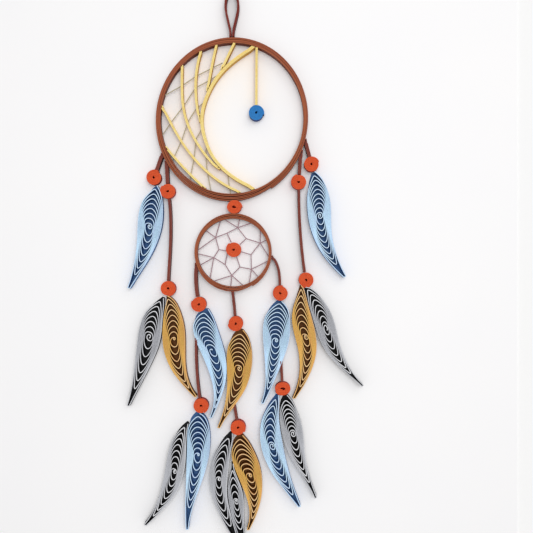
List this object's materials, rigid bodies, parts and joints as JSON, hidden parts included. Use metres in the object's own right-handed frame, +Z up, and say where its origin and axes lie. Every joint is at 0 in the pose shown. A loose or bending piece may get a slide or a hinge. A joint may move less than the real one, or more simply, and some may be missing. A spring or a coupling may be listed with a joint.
{
  "type": "quilled paper art",
  "caption": "Quilled paper dreamcatcher on a white card: a brown hoop with a paper moon, a small webbed hoop, paper beads and coiled feathers that hang below.",
  "frame": {"origin": "middle of the card's back face, on which the card lies", "axes": "+Z up from the card's back towards the quilled paper, +X to the right of the card, +Y towards its upper edge, where the hanging loop is"},
  "size_m": [0.148, 0.21, 0.0035],
  "materials": {
    "white_card": "matt white card",
    "hoop_brown_paper": "brown paper edge, wound in close turns",
    "loop_brown_paper": "dark brown paper edge",
    "hanger_brown_paper": "dark brown paper edge",
    "bead_orange_paper": "tight coil of orange paper",
    "bead_blue_paper": "tight coil of blue paper",
    "moon_yellow_paper": "yellow paper edge",
    "moon_thread": "fine grey thread",
    "web_thread": "fine mauve thread",
    "feather_blue_paper": "pale blue paper coil, bent to a feather",
    "feather_gold_paper": "gold paper coil, bent to a feather",
    "feather_grey_paper": "grey paper coil, bent to a feather"
  },
  "bodies": {
    "root": {"backing_card": "white_card", "hanging_loop": "loop_brown_paper", "hoop_bead": "bead_orange_paper", "inner_left_gold_feather": "feather_gold_paper", "inner_left_grey_feather": "feather_grey_paper", "inner_right_gold_feather": "feather_gold_paper", "inner_right_grey_feather": "feather_grey_paper", "large_hoop": "hoop_brown_paper", "left_inner_bead": "bead_orange_paper", "left_inner_hanger": "hanger_brown_paper", "left_long_hanger": "hanger_brown_paper", "left_low_bead": "bead_orange_paper", "left_outer_bead": "bead_orange_paper", "left_outer_hanger": "hanger_brown_paper", "middle_bead": "bead_orange_paper", "middle_gold_feather": "feather_gold_paper", "middle_hanger": "hanger_brown_paper", "middle_low_bead": "bead_orange_paper", "middle_low_gold_feather": "feather_gold_paper", "middle_low_grey_feather": "feather_grey_paper", "middle_low_hanger": "hanger_brown_paper", "middle_low_slim_feather": "feather_grey_paper", "moon_crescent": "moon_yellow_paper", "moon_strand_1": "moon_yellow_paper", "moon_strand_2": "moon_yellow_paper", "moon_strand_3": "moon_yellow_paper", "moon_strand_4": "moon_yellow_paper", "moon_strand_5": "moon_yellow_paper", "moon_strand_6": "moon_yellow_paper", "moon_threads": "moon_thread", "outer_left_blue_feather": "feather_blue_paper", "outer_right_blue_feather": "feather_blue_paper", "right_inner_bead": "bead_orange_paper", "right_inner_hanger": "hanger_brown_paper", "right_long_hanger": "hanger_brown_paper", "right_low_bead": "bead_orange_paper", "right_outer_bead": "bead_orange_paper", "right_outer_hanger": "hanger_brown_paper", "small_hoop": "hoop_brown_paper", "small_left_bead": "bead_orange_paper", "small_left_blue_feather": "feather_blue_paper", "small_left_hanger": "hanger_brown_paper", "small_left_low_bead": "bead_orange_paper", "small_left_low_blue_feather": "feather_blue_paper", "small_left_low_grey_feather": "feather_grey_paper", "small_left_low_hanger": "hanger_brown_paper", "small_right_bead": "bead_orange_paper", "small_right_blue_feather": "feather_blue_paper", "small_right_hanger": "hanger_brown_paper", "small_right_low_bead": "bead_orange_paper", "small_right_low_blue_feather": "feather_blue_paper", "small_right_low_grey_feather": "feather_grey_paper", "small_right_low_hanger": "hanger_brown_paper", "star_bead": "bead_blue_paper", "star_hanger": "moon_yellow_paper", "web_bead": "bead_orange_paper", "web_threads": "web_thread"}
  },
  "joints": []
}
